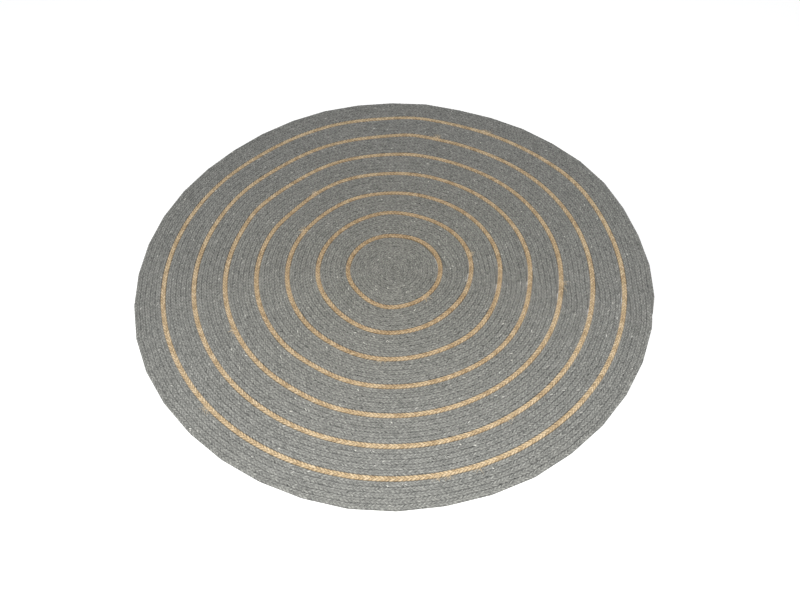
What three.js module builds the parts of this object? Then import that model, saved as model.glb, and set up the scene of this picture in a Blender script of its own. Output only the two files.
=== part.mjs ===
// Round braided rug lying flat, in millimetres. X runs right, Y back and Z up.
// A grey braid fills the centre and seven bands of five rows, and a closed jute
// ring one braid wide lies between each two of them. The origin is the bottom
// centre of the rug's bounding box.

import * as THREE from 'three';

// Sizes of the whole rug.
const RUG_RADIUS = 600;
const THICKNESS = 8;

// The repeat from the edge inwards: one jute row, then a band of grey rows.
const STRIPE_COUNT = 7;
const STRIPE_PITCH = 71;
const BAND_ROWS = 5;
const ROW_WIDTH = STRIPE_PITCH / (BAND_ROWS + 1);

// The centre is a coil of somewhat tighter rows.
const COIL_RADIUS = RUG_RADIUS - STRIPE_COUNT * STRIPE_PITCH;
const COIL_ROWS = 9;

// Cross-section of a row, as heights and as shares of the row's width.
const GROOVE_HEIGHT = 5.2;
const CREST_START = 0.28;
const CREST_END = 0.72;

// The outer rim is rounded: a low side that draws in underneath.
const RIM_HEIGHT = 4.2;
const RIM_TUCK = 2;

// Clear width between two pieces.
const PIECE_GAP = 0.3;

// Straight lengths that one turn of braid is made of.
const SECTORS = 40;

const GREY = { color: 0x888984, roughness: 0.95, metalness: 0 };
const JUTE = { color: 0xc2aa8a, roughness: 0.9, metalness: 0 };

// Places where the rows lie out of round. Each is a soft swelling (push > 0) or
// drawing-in (push < 0): at and wide are degrees anticlockwise from +X, radius
// and deep are millimetres from the centre, and push is millimetres outwards.
const PULLS = [
  { at: 216, wide: 16, radius: 142, deep: 60, push: -4.5 },
  { at: 260, wide: 12, radius: 170, deep: 105, push: 3 },
  { at: 84, wide: 14, radius: 107, deep: 30, push: -3 },
  { at: 24, wide: 20, radius: 178, deep: 30, push: 5 },
  { at: 94, wide: 10, radius: 178, deep: 35, push: 4 },
  { at: 316, wide: 15, radius: 166, deep: 32, push: -5 },
  { at: 314, wide: 10, radius: 284, deep: 50, push: 4 },
  { at: 112, wide: 9, radius: 296, deep: 80, push: 3 },
  { at: 142, wide: 8, radius: 320, deep: 32, push: -6 },
  { at: 130, wide: 8, radius: 461, deep: 95, push: -5 },
  { at: 150, wide: 5, radius: 391, deep: 35, push: 3 },
  { at: 60, wide: 10, radius: 430, deep: 110, push: -3 },
  { at: 84, wide: 5, radius: 490, deep: 60, push: 7 },
  { at: 31, wide: 8, radius: 568, deep: 50, push: 7 },
  { at: 69, wide: 5, radius: 600, deep: 35, push: -5 },
  { at: 140, wide: 11, radius: 600, deep: 50, push: -4 },
  { at: 186, wide: 14, radius: 460, deep: 90, push: 3.5 },
  { at: 203, wide: 12, radius: 600, deep: 35, push: 3.5 },
  { at: 236, wide: 7, radius: 343, deep: 60, push: -3 },
  { at: 350, wide: 9, radius: 330, deep: 90, push: -3.5 },
  { at: 355, wide: 4, radius: 600, deep: 25, push: 4 },
  { at: 264, wide: 9, radius: 600, deep: 35, push: 3 },
  { at: 294, wide: 5, radius: 600, deep: 25, push: 2 },
  { at: 105, wide: 6, radius: 560, deep: 40, push: 3 },
];

const FULL_TURN = 360;

function bell(distance, spread) {
  return Math.exp(-0.5 * (distance / spread) ** 2);
}

function shortestTurn(degrees) {
  return degrees - FULL_TURN * Math.round(degrees / FULL_TURN);
}

// Radius at which a circle of the even rug lies in the uneven one.
function lyingRadius(evenRadius, degrees) {
  let radius = evenRadius;
  for (const { at, wide, radius: middle, deep, push } of PULLS) {
    radius += push * bell(shortestTurn(degrees - at), wide) * bell(evenRadius - middle, deep);
  }
  return radius;
}

function lyingPoint(evenRadius, height, degrees) {
  if (evenRadius === 0) return [0, 0, height];
  const radius = lyingRadius(evenRadius, degrees);
  const angle = THREE.MathUtils.degToRad(degrees);
  return [radius * Math.cos(angle), radius * Math.sin(angle), height];
}

// Upper side of a stretch of rows, from its outer edge inwards, as pairs of
// even radius and height. Both edge grooves are left to the caller.
function rowCrests(innerRadius, outerRadius, rows) {
  const width = (outerRadius - innerRadius) / rows;
  const points = [];
  for (let row = rows - 1; row >= 0; row -= 1) {
    const start = innerRadius + row * width;
    points.push([start + CREST_END * width, THICKNESS]);
    points.push([start + CREST_START * width, THICKNESS]);
    if (row > 0) points.push([start, GROOVE_HEIGHT]);
  }
  return points;
}

// Closed section of a ring of rows, anticlockwise with the radius to the right.
function ringSection(innerRadius, outerRadius, rows, outermost = false) {
  const inner = innerRadius + PIECE_GAP / 2;
  const outer = outermost ? outerRadius : outerRadius - PIECE_GAP / 2;
  const foot = outermost ? outer - RIM_TUCK : outer;
  const side = outermost ? RIM_HEIGHT : GROOVE_HEIGHT;
  const crests = rowCrests(innerRadius, outerRadius, rows);
  return [[inner, 0], [foot, 0], [outer, side], ...crests, [inner, GROOVE_HEIGHT]];
}

// Section of the centre coil, from the axis below to the axis above. The
// innermost row is a knob, so its inner crest point is moved onto the axis.
function coilSection() {
  const outer = COIL_RADIUS - PIECE_GAP / 2;
  const crests = rowCrests(0, COIL_RADIUS, COIL_ROWS);
  crests[crests.length - 1] = [0, THICKNESS];
  return [[0, 0], [outer, 0], [outer, GROOVE_HEIGHT], ...crests];
}

// Carries a section once round the centre. A section that starts and ends on
// the axis closes there, and any other one closes on itself.
function sweep(section) {
  const positions = [];
  const columns = section.map(([radius, height]) => {
    const count = radius === 0 ? 1 : SECTORS;
    const first = positions.length / 3;
    for (let sector = 0; sector < count; sector += 1) {
      const degrees = (sector * FULL_TURN) / SECTORS;
      positions.push(...lyingPoint(radius, height, degrees));
    }
    return { first, count };
  });
  const corner = ({ first, count }, sector) => first + (sector % count);
  const onAxis = section[0][0] === 0;
  const sides = onAxis ? columns.length - 1 : columns.length;
  const indices = [];
  for (let side = 0; side < sides; side += 1) {
    const here = columns[side];
    const next = columns[(side + 1) % columns.length];
    for (let sector = 0; sector < SECTORS; sector += 1) {
      const a = corner(here, sector);
      const b = corner(here, sector + 1);
      const c = corner(next, sector + 1);
      const d = corner(next, sector);
      if (a !== b) indices.push(a, b, c);
      if (c !== d) indices.push(a, c, d);
    }
  }
  const geometry = new THREE.BufferGeometry();
  geometry.setAttribute('position', new THREE.Float32BufferAttribute(positions, 3));
  geometry.setIndex(indices);
  geometry.computeVertexNormals();
  return geometry;
}

function piece(name, section, look) {
  const mesh = new THREE.Mesh(sweep(section), new THREE.MeshStandardMaterial(look));
  mesh.name = name;
  return mesh;
}

const rug = new THREE.Group();
rug.add(piece('centre_coil', coilSection(), GREY));
for (let stripe = 1; stripe <= STRIPE_COUNT; stripe += 1) {
  const inner = COIL_RADIUS + (stripe - 1) * STRIPE_PITCH;
  const middle = inner + ROW_WIDTH;
  const outer = inner + STRIPE_PITCH;
  const outermost = stripe === STRIPE_COUNT;
  rug.add(piece(`jute_ring_${stripe}`, ringSection(inner, middle, 1), JUTE));
  rug.add(piece(`grey_band_${stripe}`, ringSection(middle, outer, BAND_ROWS, outermost), GREY));
}

// The uneven outline is not quite centred on the coil, so the rug is moved over
// the origin by the middle of its own box.
const middleOfBox = new THREE.Box3().setFromObject(rug).getCenter(new THREE.Vector3());
rug.position.set(-middleOfBox.x, -middleOfBox.y, 0);
rug.updateMatrixWorld(true);

export default rug;
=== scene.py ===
import math
from collections import namedtuple

import bmesh
import bpy
import numpy as np
from bpy.props import FloatProperty, FloatVectorProperty, IntProperty, PointerProperty
from mathutils import Matrix, Vector


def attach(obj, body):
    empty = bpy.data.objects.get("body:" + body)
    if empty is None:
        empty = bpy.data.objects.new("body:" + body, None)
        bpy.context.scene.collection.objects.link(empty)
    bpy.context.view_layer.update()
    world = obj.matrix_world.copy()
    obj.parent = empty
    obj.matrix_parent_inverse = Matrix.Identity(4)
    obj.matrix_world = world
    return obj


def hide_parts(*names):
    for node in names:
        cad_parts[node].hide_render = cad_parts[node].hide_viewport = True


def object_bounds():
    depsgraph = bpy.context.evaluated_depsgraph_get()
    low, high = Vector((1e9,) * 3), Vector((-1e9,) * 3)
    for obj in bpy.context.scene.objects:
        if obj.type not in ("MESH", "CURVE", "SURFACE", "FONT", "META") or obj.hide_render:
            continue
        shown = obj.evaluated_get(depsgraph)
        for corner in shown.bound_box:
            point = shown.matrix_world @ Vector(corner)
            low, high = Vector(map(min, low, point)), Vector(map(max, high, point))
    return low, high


bl_info = {
    "name": "Round Braided Rug",
    "version": (1, 0, 0),
    "blender": (4, 5, 0),
    "location": "3D View > Sidebar > Rug",
    "description": "Round rug of plaited grey yarn with closed rings of plaited jute",
    "category": "Add Mesh",
}

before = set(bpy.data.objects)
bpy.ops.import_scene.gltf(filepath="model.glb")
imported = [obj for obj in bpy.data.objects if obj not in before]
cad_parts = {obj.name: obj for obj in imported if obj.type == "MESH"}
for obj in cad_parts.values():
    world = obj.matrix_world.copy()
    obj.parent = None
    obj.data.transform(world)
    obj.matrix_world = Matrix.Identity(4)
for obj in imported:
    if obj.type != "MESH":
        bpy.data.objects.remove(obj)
CAD_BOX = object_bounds()
CAD_TOP = CAD_BOX[1].z

MM = 0.001
FULL_TURN = 360.0

# Stripes outside the coil, each a jute ring and the grey band around it.
STRIPE_COUNT = 7

# Angles in degrees anticlockwise from +X where the plaits start: each jute ring's
# joint, and near the right for the wound grey ones, whose starts lie a little
# apart. The coil leaves a small eye at its middle.
JUTE_JOINTS = (310.0, 12.0, 150.0, 128.0, 352.0, 75.0, 223.0)
WOUND_START = 346.0
START_SHIFT = 3.0
START_PLACES = 3
COIL_EYE = 1.0 * MM

# The outermost rows are laid in straight lengths: how many make a turn, and how far
# in from the edge they are still felt, in millimetres.
CORNERS = 40
STRAIGHT_REACH = 32.0

# Places where the rows lie out of round, each a soft swelling or drawing-in: at and
# wide are degrees, and radius, deep and push are millimetres.
Pull = namedtuple("Pull", "at wide radius deep push")
PULLS = (
    Pull(216, 16, 142, 60, -4.5),
    Pull(260, 12, 170, 105, 3),
    Pull(84, 14, 107, 30, -3),
    Pull(24, 20, 178, 30, 5),
    Pull(94, 10, 178, 35, 4),
    Pull(316, 15, 166, 32, -5),
    Pull(314, 10, 284, 50, 4),
    Pull(112, 9, 296, 80, 3),
    Pull(142, 8, 320, 32, -6),
    Pull(130, 8, 461, 95, -5),
    Pull(150, 5, 391, 35, 3),
    Pull(60, 10, 430, 110, -3),
    Pull(84, 5, 490, 60, 7),
    Pull(31, 8, 568, 50, 7),
    Pull(69, 5, 600, 35, -5),
    Pull(140, 11, 600, 50, -4),
    Pull(186, 14, 460, 90, 3.5),
    Pull(203, 12, 600, 35, 3.5),
    Pull(236, 7, 343, 60, -3),
    Pull(350, 9, 330, 90, -3.5),
    Pull(355, 4, 600, 25, 4),
    Pull(264, 9, 600, 35, 3),
    Pull(294, 5, 600, 25, 2),
    Pull(105, 6, 560, 40, 3),
)

# One stitch of a flat three-strand plait shows a lobe on each side of the middle.
# Seven columns of points make its upper side and two its underside: across is a
# share of half the width, lag is how far a column trails the middle in stitches,
# height is a share of the thickness, and so is groove, the depth between lobes.
PlaitColumn = namedtuple("PlaitColumn", "across lag height groove")
UPPER_COLUMNS = (
    PlaitColumn(-1.00, 0.85, 0.78, 0.05),
    PlaitColumn(-0.72, 0.66, 0.965, 0.17),
    PlaitColumn(-0.30, 0.30, 0.965, 0.17),
    PlaitColumn(0.00, 0.00, 0.80, 0.00),
    PlaitColumn(0.30, 0.30, 0.965, 0.17),
    PlaitColumn(0.72, 0.66, 0.965, 0.17),
    PlaitColumn(1.00, 0.85, 0.78, 0.05),
)
UNDER_COLUMNS = (
    PlaitColumn(0.80, 0.70, 0.0, 0.0),
    PlaitColumn(-0.80, 0.70, 0.0, 0.0),
)

# The lines across a stitch: where each crosses the left lobes, the middle and the
# right lobes, as shares of its length, and how much of the groove's depth it has on
# the left and on the right.
PlaitLine = namedtuple("PlaitLine", "left middle right left_dip right_dip")
PLAIT_LINES = (
    PlaitLine(0.00, 0.03, 0.06, 1.0, 0.0),
    PlaitLine(0.14, 0.25, 0.36, 0.3, 0.3),
    PlaitLine(0.40, 0.45, 0.50, 0.0, 1.0),
    PlaitLine(0.62, 0.63, 0.64, 0.0, 0.3),
    PlaitLine(0.86, 0.855, 0.85, 0.3, 0.0),
    PlaitLine(1.00, 1.03, 1.06, 1.0, 0.0),
)

# How far the lobes reach over the middle, and how far they draw in at the side, as
# shares of half the width.
MIDDLE_SWAY = 0.14
SIDE_NOTCH = 0.06

# Points that lie closer than this become one.
MERGE_DISTANCE = 0.02 * MM

# The plait's fullness changes over a few millimetres on each side, and its
# slackest lobes are lower by this share of the thickness.
PUFF_LENGTH = 5.0 * MM
PUFF_DEPTH = 0.03

# A wound plait's tips have this share of its row's width. Its route has this many
# points in a turn.
TIP_WIDTH = 0.14
TURN_POINTS = 720

# Loose jute fibres: one for a length of ring, their size, and their tips' share of
# the radius. They start at a share of the thickness and of half the width, arch by
# some millimetres, and head and curl off the ring's length by radians. They are
# drawn a little thicker than real ones, which are too fine to show.
FIBRE_EVERY = 14.0 * MM
FIBRE_LENGTH = (4.0 * MM, 12.0 * MM)
FIBRE_RADIUS = 0.14 * MM
FIBRE_TIP = 0.3
FIBRE_BED = 0.93
FIBRE_SIDE = 0.9
FIBRE_ARCH = (0.2, 1.6)
FIBRE_HEADING = 0.5
FIBRE_CURL = 0.9

# Places of a straight fibre that it can bend at, and how far one fibre of unit
# length lies from the next before they are laid.
FIBRE_CUTS = (0.25, 0.5, 0.75)
FIBRE_APART = 2.0

# Frayed places, as angles for each ring. Each has a tuft of longer fibres that
# lies over the grey row outside, and they cling together in wisps that are this
# many times as thick as one.
FRAYS = ((310,), (12,), (150, 262), (128,), (352, 205), (75, 300), (62, 223, 278.5, 281, 287.5))
FRAY_FIBRES = 16
FRAY_SPREAD = 4.0 * MM
FRAY_LENGTH = (8.0 * MM, 18.0 * MM)
FRAY_SIDE = (-1.0, 0.3)
FRAY_HEADING = -1.2
FRAY_FAN = 0.8
FRAY_WISP = 2.8

# Seeds of the random draws. A ring's or band's number is added to its own.
COIL_SEED = 11
RING_SEED = 20
BAND_SEED = 40
FIBRE_SEED = 60


def linear_colour(hex_code):
    """sRGB hex code as a linear colour with alpha."""
    channels = [int(hex_code[i : i + 2], 16) / 255 for i in (1, 3, 5)]
    linear = [c / 12.92 if c <= 0.04045 else ((c + 0.055) / 1.055) ** 2.4 for c in channels]
    return (*linear, 1.0)


class RugSizes(bpy.types.PropertyGroup):
    """Sizes of the rug and its plaits."""

    radius: FloatProperty(
        name="Radius", description="Even radius of the rug", default=0.6, unit="LENGTH"
    )
    thickness: FloatProperty(
        name="Thickness", description="Height of the plaits", default=CAD_TOP, unit="LENGTH"
    )
    stripe_pitch: FloatProperty(
        name="Stripe pitch",
        description="From one jute ring to the next",
        default=0.071,
        unit="LENGTH",
    )
    band_rows: IntProperty(name="Band rows", description="Grey rows in a band", default=5)
    coil_rows: IntProperty(name="Coil rows", description="Rows of the centre coil", default=9)
    grey_stitch: FloatProperty(
        name="Grey stitch",
        description="Length of a stitch of the grey plait",
        default=0.0089,
        unit="LENGTH",
    )
    jute_stitch: FloatProperty(
        name="Jute stitch",
        description="Length of a stitch of the jute plait",
        default=0.0086,
        unit="LENGTH",
    )
    piece_gap: FloatProperty(
        name="Piece gap", description="Between two pieces", default=0.0003, unit="LENGTH"
    )
    step_length: FloatProperty(
        name="Step length",
        description="Length over which a wound row steps out by its width",
        default=0.12,
        unit="LENGTH",
    )


class RugColours(bpy.types.PropertyGroup):
    """Colours of the yarns and the floor."""

    grey: FloatVectorProperty(
        name="Grey yarn",
        description="Middle tone of the heathered yarn",
        subtype="COLOR",
        size=4,
        default=linear_colour("#868681"),
    )
    grey_dark: FloatVectorProperty(
        name="Dark fibre",
        description="Darkest fibres of the grey yarn",
        subtype="COLOR",
        size=4,
        default=linear_colour("#4A4C49"),
    )
    grey_light: FloatVectorProperty(
        name="Light fibre",
        description="Lightest fibres of the grey yarn",
        subtype="COLOR",
        size=4,
        default=linear_colour("#B4B4AC"),
    )
    jute: FloatVectorProperty(
        name="Jute",
        description="Middle tone of the jute",
        subtype="COLOR",
        size=4,
        default=linear_colour("#CBB189"),
    )
    jute_dark: FloatVectorProperty(
        name="Dark jute",
        description="Brown fibres and hollows of the jute",
        subtype="COLOR",
        size=4,
        default=linear_colour("#796245"),
    )
    jute_light: FloatVectorProperty(
        name="Pale jute",
        description="Bleached fibres of the jute",
        subtype="COLOR",
        size=4,
        default=linear_colour("#E6D3B3"),
    )
    floor: FloatVectorProperty(
        name="Floor",
        description="Painted board",
        subtype="COLOR",
        size=4,
        default=linear_colour("#FAFAF8"),
    )


def row_width(sizes):
    return sizes.stripe_pitch / (sizes.band_rows + 1)


def coil_radius(sizes):
    return sizes.radius - STRIPE_COUNT * sizes.stripe_pitch


def bell(distance, spread):
    return np.exp(-0.5 * (distance / spread) ** 2)


def smooth_step(share):
    share = np.clip(share, 0.0, 1.0)
    return share * share * (3.0 - 2.0 * share)


def lying_radius(even_radius, degrees):
    """Radius in metres at which a circle of the even rug lies in the uneven one."""
    even = even_radius / MM
    radius = np.array(even, dtype=float)
    for pull in PULLS:
        turned = degrees - pull.at
        turned = turned - FULL_TURN * np.round(turned / FULL_TURN)
        radius = radius + pull.push * bell(turned, pull.wide) * bell(even - pull.radius, pull.deep)
    return radius * MM


def laid_radius(even_radius, degrees, edge_radius):
    """Lying radius, with the outermost rows laid in straight lengths between corners."""
    free = lying_radius(even_radius, degrees)
    length = FULL_TURN / CORNERS
    start = np.floor(degrees / length) * length
    here = np.radians(degrees - start)
    whole = math.radians(length)
    first = lying_radius(even_radius, start)
    last = lying_radius(even_radius, start + length)
    straight = first * last * np.sin(whole) / (first * np.sin(here) + last * np.sin(whole - here))
    share = bell((even_radius - edge_radius) / MM, STRAIGHT_REACH)
    return free + (straight - free) * share


def rug_middle(sizes):
    """Middle of the uneven outline's box, which the part's origin lies under."""
    degrees = np.arange(CORNERS) * FULL_TURN / CORNERS
    radius = lying_radius(np.full(CORNERS, sizes.radius), degrees)
    x = radius * np.cos(np.radians(degrees))
    y = radius * np.sin(np.radians(degrees))
    return (x.min() + x.max()) / 2, (y.min() + y.max()) / 2


def plait_tile(stitch, width, thickness):
    """One stitch of the plait as a short open-ended tube, X along it and Z up."""
    bm = bmesh.new()
    columns = UPPER_COLUMNS + UNDER_COLUMNS
    around = len(columns)
    steps = len(PLAIT_LINES) - 1
    step_layer = bm.verts.layers.int.new("step")
    column_layer = bm.verts.layers.int.new("column")
    bmesh.ops.create_grid(bm, x_segments=steps, y_segments=around, size=0.5)
    for vert in bm.verts:
        step = round((vert.co.x + 0.5) * steps)
        index = round((vert.co.y + 0.5) * around) % around
        column = columns[index]
        plait_line = PLAIT_LINES[step]
        across = column.across
        if across < 0:
            line, dip = plait_line.left, plait_line.left_dip
        elif across > 0:
            line, dip = plait_line.right, plait_line.right_dip
        else:
            line, dip = plait_line.middle, 0.0
            across = -MIDDLE_SWAY * math.cos(2 * math.pi * line)
        if abs(across) == 1.0:
            across *= 1.0 - SIDE_NOTCH * dip
        vert.co = (
            (line - column.lag) * stitch,
            across * width / 2,
            (column.height - column.groove * dip) * thickness,
        )
        vert[step_layer] = step
        vert[column_layer] = index
    bmesh.ops.remove_doubles(bm, verts=bm.verts, dist=MERGE_DISTANCE)
    under = {len(UPPER_COLUMNS) - 1, *range(len(UPPER_COLUMNS), around), 0}
    across_under = []
    for edge in bm.edges:
        one, other = edge.verts
        same_line = one[step_layer] == other[step_layer]
        inside = 0 < one[step_layer] < steps
        below = {one[column_layer], other[column_layer]} <= under
        if same_line and inside and below:
            across_under.append(edge)
    bmesh.ops.dissolve_edges(bm, edges=across_under, use_verts=True)
    return bm


def mesh_points(mesh):
    points = np.empty(len(mesh.vertices) * 3)
    mesh.vertices.foreach_get("co", points)
    return points.reshape(-1, 3)


def set_mesh_points(mesh, points):
    mesh.vertices.foreach_set("co", points.ravel())
    mesh.update()


def add_plait_map(mesh, stitch, width):
    """Writes stitches along the plait and shares of half its width as its UV map."""
    points = mesh_points(mesh)
    corners = np.empty(len(mesh.loops), dtype=np.int64)
    mesh.loops.foreach_get("vertex_index", corners)
    layer = mesh.uv_layers.new(name="plait")
    plait_map = points[corners, :2] / (stitch, width / 2)
    layer.data.foreach_set("uv", plait_map.ravel())


# A route says how a plait lies: turns made, and the plait's two sides in rows
# counted outwards from the inner edge, each for a length from the start.
Route = namedtuple("Route", "length turns inner outer total closed")


def closed_route(mid_radius):
    """Route of one closed turn. It runs on past both ends, so that fibres can lie
    across the joint."""
    total = 2 * math.pi * mid_radius
    length = np.array([-total, 2 * total])
    ones = np.ones(2)
    return Route(length, np.array([-1.0, 2.0]), 0 * ones, ones, total, True)


def rows_laid(turns, step_share, coil_rows):
    """Rows laid after some turns. Each turn adds one, mostly near its end, but the
    first turns of a coil, which is wound from a point, add it evenly."""
    whole = np.floor(turns)
    part = turns - whole
    step = smooth_step((part - 1.0 + step_share) / step_share)
    if coil_rows:
        late = np.clip(whole / coil_rows, 0.0, 1.0)
        step = part * (1.0 - late) + step * late
    return whole + step


def wound_route(inner_radius, width, rows, step_length, coil):
    """Route of one plait wound outwards turn by turn, tapered at both ends."""
    mean_radius = inner_radius + rows * width / 2
    step_share = min(1.0, step_length / (2 * math.pi * mean_radius))
    turns = np.arange(0, (rows + 1) * TURN_POINTS + 1) / TURN_POINTS
    coil_rows = rows if coil else 0
    outer = np.clip(rows_laid(turns, step_share, coil_rows), 0.0, rows)
    inner = np.clip(rows_laid(turns - 1.0, step_share, coil_rows), 0.0, rows)
    full = np.nonzero(outer - inner >= TIP_WIDTH)[0]
    first, last = full[0], full[-1]
    middle = inner_radius + (inner + outer) / 2 * width
    step = 2 * math.pi * middle / TURN_POINTS
    length = np.concatenate([[0.0], np.cumsum((step[1:] + step[:-1]) / 2)])
    length = length - length[first]
    outer = np.maximum(outer, inner + TIP_WIDTH)
    return Route(length, turns, inner, outer, length[last], False)


# Where a route lies: its inner and outer radius in the even rug, the rows between
# them, the angle it starts at, and its way round, 1 for anticlockwise.
Bed = namedtuple("Bed", "inner outer rows start way")


def lay_plait(mesh, route, bed, sizes, seed):
    """Bends a straight plait along its route on the floor."""
    points = mesh_points(mesh)
    along, across, height = points.T
    turns = np.interp(along, route.length, route.turns)
    inner = np.interp(turns, route.turns, route.inner)
    share = np.interp(turns, route.turns, route.outer) - inner
    side = across / (row_width(sizes) / 2)
    rows = inner + (1.0 - bed.way * side) / 2 * share
    even = bed.inner + rows * (bed.outer - bed.inner) / bed.rows
    degrees = bed.start + bed.way * FULL_TURN * turns
    radius = laid_radius(even, degrees, sizes.radius)
    rng = np.random.default_rng(seed)
    knots = np.arange(0.0, route.total, PUFF_LENGTH)
    puff = rng.uniform(0.0, 1.0, (2, len(knots)))
    left = np.interp(along, knots, puff[0], period=route.total)
    right = np.interp(along, knots, puff[1], period=route.total)
    fullness = 1.0 - PUFF_DEPTH * np.where(side < 0, left, right)
    middle = rug_middle(sizes)
    angle = np.radians(degrees)
    points[:, 0] = radius * np.cos(angle) - middle[0]
    points[:, 1] = radius * np.sin(angle) - middle[1]
    points[:, 2] = height * np.sqrt(np.clip(share, 0.0, 1.0)) * fullness
    set_mesh_points(mesh, points)


def close_plait(mesh, closed):
    """Joins the ends of a closed ring, or caps the two ends of a wound plait."""
    bm = bmesh.new()
    bm.from_mesh(mesh)
    if closed:
        bmesh.ops.remove_doubles(bm, verts=bm.verts, dist=MERGE_DISTANCE)
    else:
        ends = [edge for edge in bm.edges if edge.is_boundary]
        bmesh.ops.holes_fill(bm, edges=ends, sides=0)
    for face in bm.faces:
        face.smooth = True
    bm.to_mesh(mesh)
    bm.free()


def add_piece(mesh, name, material):
    piece = bpy.data.objects.new(name, mesh)
    bpy.context.scene.collection.objects.link(piece)
    mesh.materials.append(material)
    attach(piece, "root")
    return piece


def add_plait(mesh, node, material):
    piece = add_piece(mesh, mesh.name, material)
    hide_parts(node)


def loose_fibre(radius):
    """One fibre along X from 0 to 1, three-sided and thinner towards its end."""
    bm = bmesh.new()
    lie_down = Matrix.Translation((0.5, 0.0, 0.0)) @ Matrix.Rotation(math.pi / 2, 4, "Y")
    bmesh.ops.create_cone(
        bm,
        cap_ends=True,
        segments=3,
        radius1=radius,
        radius2=radius * FIBRE_TIP,
        depth=1.0,
        matrix=lie_down,
    )
    for cut in FIBRE_CUTS:
        geom = bm.verts[:] + bm.edges[:] + bm.faces[:]
        bmesh.ops.bisect_plane(bm, geom=geom, plane_co=(cut, 0, 0), plane_no=(1, 0, 0))
    return bm


def repeated(name, bm, count, offset, merge):
    """Mesh of a shape repeated along X by an array."""
    mesh = bpy.data.meshes.new(name)
    bm.to_mesh(mesh)
    bm.free()
    holder = bpy.data.objects.new(name, mesh)
    bpy.context.scene.collection.objects.link(holder)
    array = holder.modifiers.new("Repeat", "ARRAY")
    array.count = count
    array.use_relative_offset = False
    array.use_constant_offset = True
    array.constant_offset_displace = (offset, 0.0, 0.0)
    array.use_merge_vertices = merge
    array.merge_threshold = MERGE_DISTANCE
    graph = bpy.context.evaluated_depsgraph_get()
    made = bpy.data.meshes.new_from_object(holder.evaluated_get(graph))
    bpy.data.objects.remove(holder)
    bpy.data.meshes.remove(mesh)
    made.name = name
    return made


def make_fibres(name, route, bed, sizes, frays, seed):
    """Loose fibres that stand off a jute ring, and tufts where it is frayed."""
    rng = np.random.default_rng(seed)
    single = round(route.total / FIBRE_EVERY)
    count = single + FRAY_FIBRES * len(frays)
    start = rng.uniform(0.0, route.total, count)
    side = rng.uniform(-FIBRE_SIDE, FIBRE_SIDE, count)
    heading = rng.normal(0.0, FIBRE_HEADING, count) + math.pi * rng.integers(0, 2, count)
    length = rng.uniform(*FIBRE_LENGTH, count)
    lift = rng.uniform(*FIBRE_ARCH, count) * MM
    for index, fray in enumerate(frays):
        tuft = slice(single + index * FRAY_FIBRES, single + (index + 1) * FRAY_FIBRES)
        turned = (fray - bed.start) % FULL_TURN / FULL_TURN * route.total
        start[tuft] = turned + rng.normal(0.0, FRAY_SPREAD, FRAY_FIBRES)
        side[tuft] = rng.uniform(*FRAY_SIDE, FRAY_FIBRES)
        heading[tuft] = rng.normal(FRAY_HEADING, FRAY_FAN, FRAY_FIBRES)
        length[tuft] = rng.uniform(*FRAY_LENGTH, FRAY_FIBRES)
    wisp = np.where(np.arange(count) < single, 1.0, FRAY_WISP)

    mesh = repeated(name, loose_fibre(FIBRE_RADIUS), count, FIBRE_APART, False)
    points = mesh_points(mesh)
    which = np.floor((points[:, 0] + 0.5) / FIBRE_APART).astype(int)
    share = points[:, 0] - FIBRE_APART * which
    across, height = points[:, 1:].T * wisp[which]
    curl = rng.normal(0.0, FIBRE_CURL, count)[which]
    reach = share * length[which]
    turn = heading[which] + curl * share
    from_middle = side[which] * row_width(sizes) / 2
    points[:, 0] = start[which] + reach * np.cos(turn) - across * np.sin(turn)
    points[:, 1] = from_middle + reach * np.sin(turn) + across * np.cos(turn)
    rise = np.sin(math.pi * share) * lift[which]
    points[:, 2] = height + (sizes.thickness * FIBRE_BED + rise)
    set_mesh_points(mesh, points)
    lay_plait(mesh, route, bed, sizes, seed)
    for polygon in mesh.polygons:
        polygon.use_smooth = True
    return mesh


def make_plait(name, route, bed, stitch, sizes, seed):
    count = round(route.total / stitch)
    whole_stitch = route.total / count
    width = row_width(sizes)
    tile = plait_tile(whole_stitch, width, sizes.thickness)
    mesh = repeated(name, tile, count, whole_stitch, True)
    add_plait_map(mesh, whole_stitch, width)
    lay_plait(mesh, route, bed, sizes, seed)
    close_plait(mesh, route.closed)
    return mesh


def add_node(tree, kind, inputs=None, **settings):
    """Adds a node, sets its properties and sets or links its inputs."""
    node = tree.nodes.new(kind)
    for name, value in settings.items():
        setattr(node, name, value)
    for socket, value in (inputs or {}).items():
        if isinstance(value, bpy.types.NodeSocket):
            tree.links.new(value, node.inputs[socket])
        else:
            node.inputs[socket].default_value = value
    return node


def new_material(name):
    material = bpy.data.materials.new(name)
    material.use_nodes = True
    tree = material.node_tree
    shader = tree.nodes["Principled BSDF"]
    return material, tree, shader


# How far a lobe trails the middle, at a share of half the width from it: the slope
# times the share and the bend times its square, as the plait's columns do.
LAG_SLOPE = 1.1
LAG_BEND = -0.25

# The lobes of the two sides start half a stitch apart. Each side's fibres and
# heather are another part of their noise, this far on.
SIDE_PHASE = 0.5
FIBRE_SHIFT = 7.3
HEATHER_SHIFT = 9.1

# How much finer noise each pattern has, and how strong that is.
FIBRE_DETAIL = 2.0
HEATHER_DETAIL = 1.0
STRETCH_DETAIL = 2.0
LOOSE_DETAIL = 2.0
NOISE_ROUGHNESS = 0.6

# Tones at which the yarn is all dark and all light.
DARKEST_TONE = 0.1
LIGHTEST_TONE = 0.9

# Powers that keep the shade in the gaps between lobes and in the valleys narrow.
GAP_NARROWNESS = 2.5
VALLEY_NARROWNESS = 4.0

# A spot fades out between these distances, as shares of its size, and is at least
# this strong.
SPOT_EDGE = 0.45
SPOT_CORE = 0.25
SPOT_STRENGTH = 0.4

# Radii in metres inside which the colour has its full inner tint, darker towards the middle, and
# outside which it has none.
TINTED_RADIUS = 0.1
UNTINTED_RADIUS = 0.53

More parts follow.
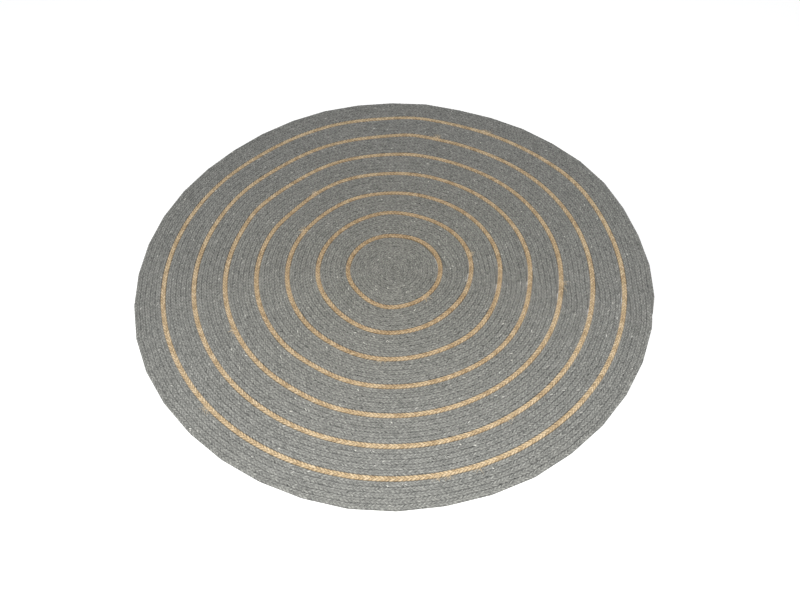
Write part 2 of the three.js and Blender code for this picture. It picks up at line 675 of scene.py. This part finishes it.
SHEEN_ROUGHNESS = 0.5

WHITE = (1.0, 1.0, 1.0, 1.0)

# Heathered yarn spun from light and dark fibres and plaited loosely: dull, soft and
# mottled grey, with a few pale slubs and dark flecks. The real mottling is about a
# millimetre across, too fine to show, so it is drawn three times as coarse.
GREY_LOOKS = {
    "fibre_width": 0.9 * MM,
    "fibre_length": 3.5 * MM,
    "fibre_contrast": 0.25,
    "heather_size": 3.2 * MM,
    "heather_contrast": 1.2,
    "lobe_contrast": 0.14,
    "stretch_length": 45.0 * MM,
    "stretch_contrast": 0.03,
    "gap_shade": 0.42,
    "middle_shade": 0.36,
    "side_shade": 0.42,
    "spot_width": 3.2 * MM,
    "spot_length": 6.0 * MM,
    "slub_share": 0.006,
    "slub": linear_colour("#E9E7DD"),
    "fleck_share": 0.05,
    "fleck": linear_colour("#262726"),
    "inner_tint": linear_colour("#FAF9F5"),
    "fibre_height": 0.15 * MM,
    "roughness": 0.95,
    "specular": 0.2,
    "sheen": 0.1,
}

# Retted jute plaited in flat untwisted strands: long coarse fibres with a faint
# shine, golden tan with browner stretches along the length. The fibres are about a
# tenth of a millimetre thick, too fine to show, so they are drawn as strips of 0.7.
JUTE_LOOKS = {
    "fibre_width": 0.7 * MM,
    "fibre_length": 8.0 * MM,
    "fibre_contrast": 0.7,
    "heather_size": 2.5 * MM,
    "heather_contrast": 1.0,
    "lobe_contrast": 0.3,
    "stretch_length": 30.0 * MM,
    "stretch_contrast": 0.2,
    "gap_shade": 0.65,
    "middle_shade": 0.22,
    "side_shade": 0.55,
    "spot_width": 2.4 * MM,
    "spot_length": 6.0 * MM,
    "slub_share": 0.01,
    "slub": linear_colour("#F2E4C6"),
    "fleck_share": 0.02,
    "fleck": linear_colour("#5B4126"),
    "inner_tint": linear_colour("#E6E0D8"),
    "fibre_height": 0.4 * MM,
    "roughness": 0.78,
    "specular": 0.35,
    "sheen": 0.1,
}

# Loose fibres change tone over this length, between these values of the noise.
LOOSE_TONE_SIZE = 6.0 * MM
LOOSE_TONE_START = 0.3
LOOSE_TONE_END = 0.6
LOOSE_ROUGHNESS = 0.7


def soft_noise(tree, place, scale, detail):
    """Noise between about -0.5 and 0.5, at a place that is scaled on each axis."""
    inputs = {0: place, 1: scale}
    at = add_node(tree, "ShaderNodeVectorMath", inputs, operation="MULTIPLY").outputs[0]
    inputs = {"Vector": at, "Scale": 1.0, "Detail": detail, "Roughness": NOISE_ROUGHNESS}
    noise = add_node(tree, "ShaderNodeTexNoise", inputs).outputs[0]
    return add_node(tree, "ShaderNodeMath", {0: noise, 1: 0.5}, operation="SUBTRACT").outputs[0]


# Where a point lies on a plait: stitches along it, shares of half the width out
# from its middle, the side as 0 or 1, the lobe's number and the share of it passed.
# The strand holds the place for patterns that run along the lobes.
LobePlace = namedtuple("LobePlace", "along out side lobe within strand")


def find_lobe(tree):
    """Finds the lobe that each point lies on, from the plait's UV map."""
    uv = add_node(tree, "ShaderNodeUVMap", uv_map="plait").outputs[0]
    along, across = add_node(tree, "ShaderNodeSeparateXYZ", {0: uv}).outputs[:2]
    out = add_node(tree, "ShaderNodeMath", {0: across}, operation="ABSOLUTE").outputs[0]
    inputs = {0: out, 1: LAG_BEND, 2: LAG_SLOPE}
    slope = add_node(tree, "ShaderNodeMath", inputs, operation="MULTIPLY_ADD").outputs[0]
    lag = add_node(tree, "ShaderNodeMath", {0: out, 1: slope}, operation="MULTIPLY").outputs[0]

    inputs = {0: along, 1: 2 * math.pi}
    angle = add_node(tree, "ShaderNodeMath", inputs, operation="MULTIPLY").outputs[0]
    wave = add_node(tree, "ShaderNodeMath", {0: angle}, operation="COSINE").outputs[0]
    inputs = {0: wave, 1: MIDDLE_SWAY}
    sway = add_node(tree, "ShaderNodeMath", inputs, operation="MULTIPLY").outputs[0]
    swayed = add_node(tree, "ShaderNodeMath", {0: across, 1: sway}, operation="ADD").outputs[0]
    inputs = {0: swayed, 1: 0.0}
    side = add_node(tree, "ShaderNodeMath", inputs, operation="GREATER_THAN").outputs[0]

    trail = add_node(tree, "ShaderNodeMath", {0: along, 1: lag}, operation="ADD").outputs[0]
    inputs = {0: side, 1: SIDE_PHASE, 2: trail}
    phase = add_node(tree, "ShaderNodeMath", inputs, operation="MULTIPLY_ADD").outputs[0]
    lobe = add_node(tree, "ShaderNodeMath", {0: phase}, operation="FLOOR").outputs[0]
    within = add_node(tree, "ShaderNodeMath", {0: phase}, operation="FRACT").outputs[0]
    inputs = {0: phase, 1: across, 2: side}
    strand = add_node(tree, "ShaderNodeCombineXYZ", inputs).outputs[0]
    return LobePlace(along, out, side, lobe, within, strand)


def add_tones(tree, place, patterns, tones, looks):
    """Colour from the tone of each lobe, its fibres, the heather and the stretches."""
    inputs = {0: place.lobe, 1: place.side}
    lobe_at = add_node(tree, "ShaderNodeCombineXYZ", inputs).outputs[0]
    chance = add_node(tree, "ShaderNodeTexWhiteNoise", {0: lobe_at}).outputs[0]
    inputs = {0: chance, 1: 0.5}
    lobe_tone = add_node(tree, "ShaderNodeMath", inputs, operation="SUBTRACT").outputs[0]
    tone = 0.5
    for name, pattern in {"lobe": lobe_tone, **patterns}.items():
        inputs = {0: pattern, 1: looks[f"{name}_contrast"], 2: tone}
        tone = add_node(tree, "ShaderNodeMath", inputs, operation="MULTIPLY_ADD").outputs[0]
    dark, middle, light = tones
    ramp = add_node(tree, "ShaderNodeValToRGB", {0: tone})
    low, high = ramp.color_ramp.elements
    low.position, low.color = DARKEST_TONE, dark
    high.position, high.color = LIGHTEST_TONE, light
    ramp.color_ramp.elements.new(0.5).color = middle
    return ramp.outputs[0]


def add_shade(tree, place, colour, looks):
    """Shade in the gaps between lobes and in the valleys at the middle and sides."""
    inputs = {0: place.within, 1: 0.5}
    from_middle = add_node(tree, "ShaderNodeMath", inputs, operation="SUBTRACT").outputs[0]
    inputs = {0: from_middle}
    half = add_node(tree, "ShaderNodeMath", inputs, operation="ABSOLUTE").outputs[0]
    inputs = {0: half, 1: 2.0}
    from_crest = add_node(tree, "ShaderNodeMath", inputs, operation="MULTIPLY").outputs[0]
    inputs = {0: from_crest, 1: GAP_NARROWNESS}
    gap = add_node(tree, "ShaderNodeMath", inputs, operation="POWER").outputs[0]
    inputs = {0: gap, 1: -looks["gap_shade"], 2: 1.0}
    gap_light = add_node(tree, "ShaderNodeMath", inputs, operation="MULTIPLY_ADD").outputs[0]

    inputs = {0: place.out, 1: 2.0, 2: -1.0}
    past_ridge = add_node(tree, "ShaderNodeMath", inputs, operation="MULTIPLY_ADD").outputs[0]
    inputs = {0: past_ridge}
    from_ridge = add_node(tree, "ShaderNodeMath", inputs, operation="ABSOLUTE").outputs[0]
    inputs = {0: from_ridge, 1: VALLEY_NARROWNESS}
    valley = add_node(tree, "ShaderNodeMath", inputs, operation="POWER").outputs[0]
    inputs = {0: place.out, 1: 0.5}
    outer = add_node(tree, "ShaderNodeMath", inputs, operation="GREATER_THAN").outputs[0]
    inputs = {0: outer, 1: looks["side_shade"] - looks["middle_shade"], 2: looks["middle_shade"]}
    depth = add_node(tree, "ShaderNodeMath", inputs, operation="MULTIPLY_ADD").outputs[0]
    inputs = {0: valley, 1: depth}
    valley_shade = add_node(tree, "ShaderNodeMath", inputs, operation="MULTIPLY").outputs[0]
    inputs = {0: 1.0, 1: valley_shade}
    valley_light = add_node(tree, "ShaderNodeMath", inputs, operation="SUBTRACT").outputs[0]

    inputs = {0: gap_light, 1: valley_light}
    both = add_node(tree, "ShaderNodeMath", inputs, operation="MULTIPLY").outputs[0]
    mix = {"data_type": "RGBA", "blend_type": "MULTIPLY"}
    return add_node(tree, "ShaderNodeMix", {0: 1.0, 6: colour, 7: both}, **mix).outputs[2]


def add_spots(tree, place, colour, scale, looks):
    """A few spots along the strands: a slub of pale fibre or a dark fleck."""
    inputs = {0: place.strand, 1: scale}
    at = add_node(tree, "ShaderNodeVectorMath", inputs, operation="MULTIPLY").outputs[0]
    inputs = {"Vector": at, "Scale": 1.0}
    spot = add_node(tree, "ShaderNodeTexVoronoi", inputs, voronoi_dimensions="2D").outputs
    luck, might = add_node(tree, "ShaderNodeSeparateColor", {0: spot[1]}).outputs[:2]
    inputs = {0: might, 1: 1.0 - SPOT_STRENGTH, 2: SPOT_STRENGTH}
    strength = add_node(tree, "ShaderNodeMath", inputs, operation="MULTIPLY_ADD").outputs[0]
    inputs = {0: spot[0], 1: SPOT_EDGE, 2: SPOT_CORE}
    soft = {"interpolation_type": "SMOOTHSTEP"}
    near = add_node(tree, "ShaderNodeMapRange", inputs, **soft).outputs[0]
    inputs = {0: near, 1: strength}
    cover = add_node(tree, "ShaderNodeMath", inputs, operation="MULTIPLY").outputs[0]
    kinds = (
        ("slub", "GREATER_THAN", 1.0 - looks["slub_share"]),
        ("fleck", "LESS_THAN", looks["fleck_share"]),
    )
    for kind, test, limit in kinds:
        drawn = add_node(tree, "ShaderNodeMath", {0: luck, 1: limit}, operation=test).outputs[0]
        inputs = {0: cover, 1: drawn}
        share = add_node(tree, "ShaderNodeMath", inputs, operation="MULTIPLY").outputs[0]
        inputs = {0: share, 6: colour, 7: looks[kind]}
        colour = add_node(tree, "ShaderNodeMix", inputs, data_type="RGBA").outputs[2]
    return colour


def add_middle_tint(tree, colour, tint):
    """Tints a colour darker towards the rug's middle."""
    at = add_node(tree, "ShaderNodeTexCoord").outputs["Object"]
    out = add_node(tree, "ShaderNodeVectorMath", {0: at}, operation="LENGTH").outputs["Value"]
    inputs = {0: out, 1: TINTED_RADIUS, 2: UNTINTED_RADIUS}
    share = add_node(tree, "ShaderNodeMapRange", inputs).outputs[0]
    inputs = {0: share, 6: tint, 7: WHITE}
    shade = add_node(tree, "ShaderNodeMix", inputs, data_type="RGBA").outputs[2]
    mix = {"data_type": "RGBA", "blend_type": "MULTIPLY"}
    return add_node(tree, "ShaderNodeMix", {0: 1.0, 6: colour, 7: shade}, **mix).outputs[2]


def plaited_yarn(name, stitch, width, tones, looks):
    """Material of a plait, in which every lobe has a tone of its own and its fibres
    run along it. Stitch and width turn the UV map's shares to real sizes."""
    material, tree, shader = new_material(name)
    place = find_lobe(tree)

    def scale(size_along, size_across, shift=0.0):
        return (stitch / looks[size_along], width / 2 / looks[size_across], shift)

    row = add_node(tree, "ShaderNodeCombineXYZ", {0: place.along, 1: place.side}).outputs[0]
    fibre_scale = scale("fibre_width", "fibre_length", FIBRE_SHIFT)
    heather_scale = scale("heather_size", "heather_size", HEATHER_SHIFT)
    stretch_scale = (stitch / looks["stretch_length"], 1.0, 1.0)
    patterns = {
        "fibre": soft_noise(tree, place.strand, fibre_scale, FIBRE_DETAIL),
        "heather": soft_noise(tree, place.strand, heather_scale, HEATHER_DETAIL),
        "stretch": soft_noise(tree, row, stretch_scale, STRETCH_DETAIL),
    }
    colour = add_tones(tree, place, patterns, tones, looks)
    colour = add_shade(tree, place, colour, looks)
    colour = add_spots(tree, place, colour, scale("spot_width", "spot_length"), looks)
    colour = add_middle_tint(tree, colour, looks["inner_tint"])
    tree.links.new(colour, shader.inputs["Base Color"])

    inputs = {0: patterns["fibre"], 1: patterns["heather"]}
    height = add_node(tree, "ShaderNodeMath", inputs, operation="ADD").outputs[0]
    inputs = {"Strength": 1.0, "Distance": looks["fibre_height"], "Height": height}
    bump = add_node(tree, "ShaderNodeBump", inputs).outputs[0]
    tree.links.new(bump, shader.inputs["Normal"])
    shader.inputs["Roughness"].default_value = looks["roughness"]
    shader.inputs["Specular IOR Level"].default_value = looks["specular"]
    shader.inputs["Sheen Weight"].default_value = looks["sheen"]
    shader.inputs["Sheen Roughness"].default_value = SHEEN_ROUGHNESS
    return material


def grey_yarn(sizes, colours):
    tones = (colours.grey_dark, colours.grey, colours.grey_light)
    name = "heathered_yarn_plaited"
    found = bpy.data.materials.get(name)
    return found or plaited_yarn(name, sizes.grey_stitch, row_width(sizes), tones, GREY_LOOKS)


def jute_fibre(sizes, colours):
    tones = (colours.jute_dark, colours.jute, colours.jute_light)
    name = "retted_jute_plaited"
    found = bpy.data.materials.get(name)
    return found or plaited_yarn(name, sizes.jute_stitch, row_width(sizes), tones, JUTE_LOOKS)


def loose_jute(colours):
    """Material of single retted jute fibres, from tan to bleached and a little shiny."""
    material, tree, shader = new_material("retted_jute_loose")
    at = add_node(tree, "ShaderNodeTexCoord").outputs["Object"]
    inputs = {"Vector": at, "Scale": 1 / LOOSE_TONE_SIZE, "Detail": LOOSE_DETAIL}
    noise = add_node(tree, "ShaderNodeTexNoise", inputs).outputs[0]
    ramp = add_node(tree, "ShaderNodeValToRGB", {0: noise})
    low, high = ramp.color_ramp.elements
    low.position, low.color = LOOSE_TONE_START, colours.jute
    high.position, high.color = LOOSE_TONE_END, colours.jute_light
    tree.links.new(ramp.outputs[0], shader.inputs["Base Color"])
    shader.inputs["Roughness"].default_value = LOOSE_ROUGHNESS
    return material


class RUG_OT_centre_coil(bpy.types.Operator):
    """Lay the grey plait that is coiled from the middle."""

    bl_idname = "rug.centre_coil"
    bl_label = "Centre Coil"

    def execute(self, context):
        sizes = context.scene.rug_sizes
        rows = sizes.coil_rows
        width = coil_radius(sizes) / rows
        route = wound_route(0.0, width, rows, sizes.step_length, True)
        outer = coil_radius(sizes) - sizes.piece_gap / 2
        bed = Bed(COIL_EYE, outer, rows, WOUND_START, -1)
        name = "centre_coil_plait"
        mesh = make_plait(name, route, bed, sizes.grey_stitch, sizes, COIL_SEED)
        material = grey_yarn(sizes, context.scene.rug_colours)
        add_plait(mesh, "centre_coil", material)
        return {"FINISHED"}


class RUG_OT_jute_rings(bpy.types.Operator):
    """Lay the closed rings of jute plait."""

    bl_idname = "rug.jute_rings"
    bl_label = "Jute Rings"

    def execute(self, context):
        sizes = context.scene.rug_sizes
        width = row_width(sizes)
        half_gap = sizes.piece_gap / 2
        material = jute_fibre(sizes, context.scene.rug_colours)
        loose = loose_jute(context.scene.rug_colours)
        for stripe, start in enumerate(JUTE_JOINTS, start=1):
            inner = coil_radius(sizes) + (stripe - 1) * sizes.stripe_pitch
            route = closed_route(inner + width / 2)
            bed = Bed(inner + half_gap, inner + width - half_gap, 1, start, 1)
            name = f"jute_ring_{stripe}_plait"
            mesh = make_plait(name, route, bed, sizes.jute_stitch, sizes, RING_SEED + stripe)
            name = f"jute_ring_{stripe}_fibres"
            frays = FRAYS[stripe - 1]
            strays = make_fibres(name, route, bed, sizes, frays, FIBRE_SEED + stripe)
            fibres = add_piece(strays, strays.name, loose)
            add_plait(mesh, f"jute_ring_{stripe}", material)
        return {"FINISHED"}


class RUG_OT_grey_bands(bpy.types.Operator):
    """Lay the bands of grey plait, each wound round five times."""

    bl_idname = "rug.grey_bands"
    bl_label = "Grey Bands"

    def execute(self, context):
        sizes = context.scene.rug_sizes
        width = row_width(sizes)
        rows = sizes.band_rows
        half_gap = sizes.piece_gap / 2
        material = grey_yarn(sizes, context.scene.rug_colours)
        for stripe in range(1, STRIPE_COUNT + 1):
            inner = coil_radius(sizes) + (stripe - 1) * sizes.stripe_pitch + width
            route = wound_route(inner, width, rows, sizes.step_length, False)
            outer = inner + rows * width
            if stripe < STRIPE_COUNT:
                outer -= half_gap
            start = WOUND_START - START_SHIFT * (stripe % START_PLACES)
            bed = Bed(inner + half_gap, outer, rows, start, -1)
            name = f"grey_band_{stripe}_plait"
            mesh = make_plait(name, route, bed, sizes.grey_stitch, sizes, BAND_SEED + stripe)
            add_plait(mesh, f"grey_band_{stripe}", material)
        return {"FINISHED"}


# Viewpoint in the photograph, from the ellipses of the rings: millimetres of lens
# and sensor, degrees, and metres.
LENS = 38.36
SENSOR_WIDTH = 36.0
VIEW_ELEVATION = 52.44
VIEW_DISTANCE = 1.949
VIEW_TARGET = (0.0127, -0.0922)
VIEW_ROLL = -1.01

# Matt white paint on board: pale and even, without a highlight. A faint glow of its
# own keeps it as pale as a studio floor far from the lamps.
FLOOR_REACH = 20.0
FLOOR_ROUGHNESS = 0.9
FLOOR_GLOW = 0.3

# Soft light from all round, a wide softbox over the near edge, in metres and watts,
# and a weak window far off to the left and behind.
ROOM_COLOUR = linear_colour("#FAFBFF")
ROOM_STRENGTH = 0.6
SOFTBOX_PLACE = (-0.07, -0.95, 1.19)
SOFTBOX_TARGET = (-0.07, -0.8, 0.0)
SOFTBOX_WIDTH = 1.6
SOFTBOX_SHARE = 0.35
SOFTBOX_POWER = 22.5
WINDOW_DIRECTION = (-1.0, 0.7, 0.6)
WINDOW_STRENGTH = 0.6
WINDOW_SPREAD = 25.0


class RUG_OT_stage(bpy.types.Operator):
    """Set the pale floor, the soft lights and the camera."""

    bl_idname = "rug.stage"
    bl_label = "Stage"

    def execute(self, context):
        scene = context.scene
        self.add_floor(scene, scene.rug_colours.floor)
        self.add_room(scene)
        self.add_softbox(scene)
        self.add_window(scene)
        self.add_camera(scene, scene.rug_sizes)
        return {"FINISHED"}

    def add_floor(self, scene, colour):
        mesh = bpy.data.meshes.new("floor")
        bm = bmesh.new()
        bmesh.ops.create_grid(bm, x_segments=1, y_segments=1, size=FLOOR_REACH)
        bm.to_mesh(mesh)
        bm.free()
        material, _, shader = new_material("painted_board")
        shader.inputs["Base Color"].default_value = colour
        shader.inputs["Emission Color"].default_value = colour
        shader.inputs["Emission Strength"].default_value = FLOOR_GLOW
        shader.inputs["Roughness"].default_value = FLOOR_ROUGHNESS
        mesh.materials.append(material)
        floor = bpy.data.objects.new("floor", mesh)
        scene.collection.objects.link(floor)

    def add_room(self, scene):
        world = bpy.data.worlds.new("soft_room")
        world.use_nodes = True
        background = world.node_tree.nodes["Background"]
        background.inputs["Color"].default_value = ROOM_COLOUR
        background.inputs["Strength"].default_value = ROOM_STRENGTH
        scene.world = world

    def add_softbox(self, scene):
        light = bpy.data.lights.new("front_softbox", "AREA")
        light.shape = "RECTANGLE"
        light.size = SOFTBOX_WIDTH
        light.size_y = SOFTBOX_WIDTH * SOFTBOX_SHARE
        light.energy = SOFTBOX_POWER
        lamp = bpy.data.objects.new("front_softbox", light)
        lamp.location = SOFTBOX_PLACE
        aim = Vector(SOFTBOX_TARGET) - Vector(SOFTBOX_PLACE)
        lamp.rotation_euler = aim.to_track_quat("-Z", "Y").to_euler()
        scene.collection.objects.link(lamp)

    def add_window(self, scene):
        """Weak slanting light that brings out the rows."""
        light = bpy.data.lights.new("side_window", "SUN")
        light.energy = WINDOW_STRENGTH
        light.angle = math.radians(WINDOW_SPREAD)
        lamp = bpy.data.objects.new("side_window", light)
        lamp.rotation_euler = Vector(WINDOW_DIRECTION).to_track_quat("Z", "Y").to_euler()
        scene.collection.objects.link(lamp)

    def add_camera(self, scene, sizes):
        middle = rug_middle(sizes)
        elevation = math.radians(VIEW_ELEVATION)
        target = Vector((VIEW_TARGET[0] - middle[0], VIEW_TARGET[1] - middle[1], sizes.thickness))
        back = Vector((0.0, -math.cos(elevation), math.sin(elevation)))
        data = bpy.data.cameras.new("camera")
        data.sensor_width = SENSOR_WIDTH
        data.lens = LENS
        camera = bpy.data.objects.new("camera", data)
        place = Matrix.Translation(target + back * VIEW_DISTANCE)
        tilt = Matrix.Rotation(math.pi / 2 - elevation, 4, "X")
        roll = Matrix.Rotation(math.radians(VIEW_ROLL), 4, "Z")
        camera.matrix_world = place @ tilt @ roll
        scene.collection.objects.link(camera)
        scene.camera = camera
        scene.view_settings.view_transform = "Standard"


class RUG_PT_panel(bpy.types.Panel):
    """Lists the steps that make the rug."""

    bl_idname = "RUG_PT_panel"
    bl_label = "Round Braided Rug"
    bl_space_type = "VIEW_3D"
    bl_region_type = "UI"
    bl_category = "Rug"

    def draw(self, context):
        layout = self.layout
        for operator in OPERATORS:
            layout.operator(operator.bl_idname)
        for group in (context.scene.rug_sizes, context.scene.rug_colours):
            for name in group.__annotations__:
                layout.prop(group, name)


OPERATORS = (RUG_OT_centre_coil, RUG_OT_jute_rings, RUG_OT_grey_bands, RUG_OT_stage)
CLASSES = (RugSizes, RugColours, *OPERATORS, RUG_PT_panel)


def register():
    for cls in CLASSES:
        bpy.utils.register_class(cls)
    bpy.types.Scene.rug_sizes = PointerProperty(type=RugSizes)
    bpy.types.Scene.rug_colours = PointerProperty(type=RugColours)


def unregister():
    del bpy.types.Scene.rug_colours
    del bpy.types.Scene.rug_sizes
    for cls in reversed(CLASSES):
        bpy.utils.unregister_class(cls)


def main():
    register()
    bpy.ops.rug.centre_coil()
    bpy.ops.rug.jute_rings()
    bpy.ops.rug.grey_bands()
    bpy.ops.rug.stage()


if __name__ == "__main__":
    main()
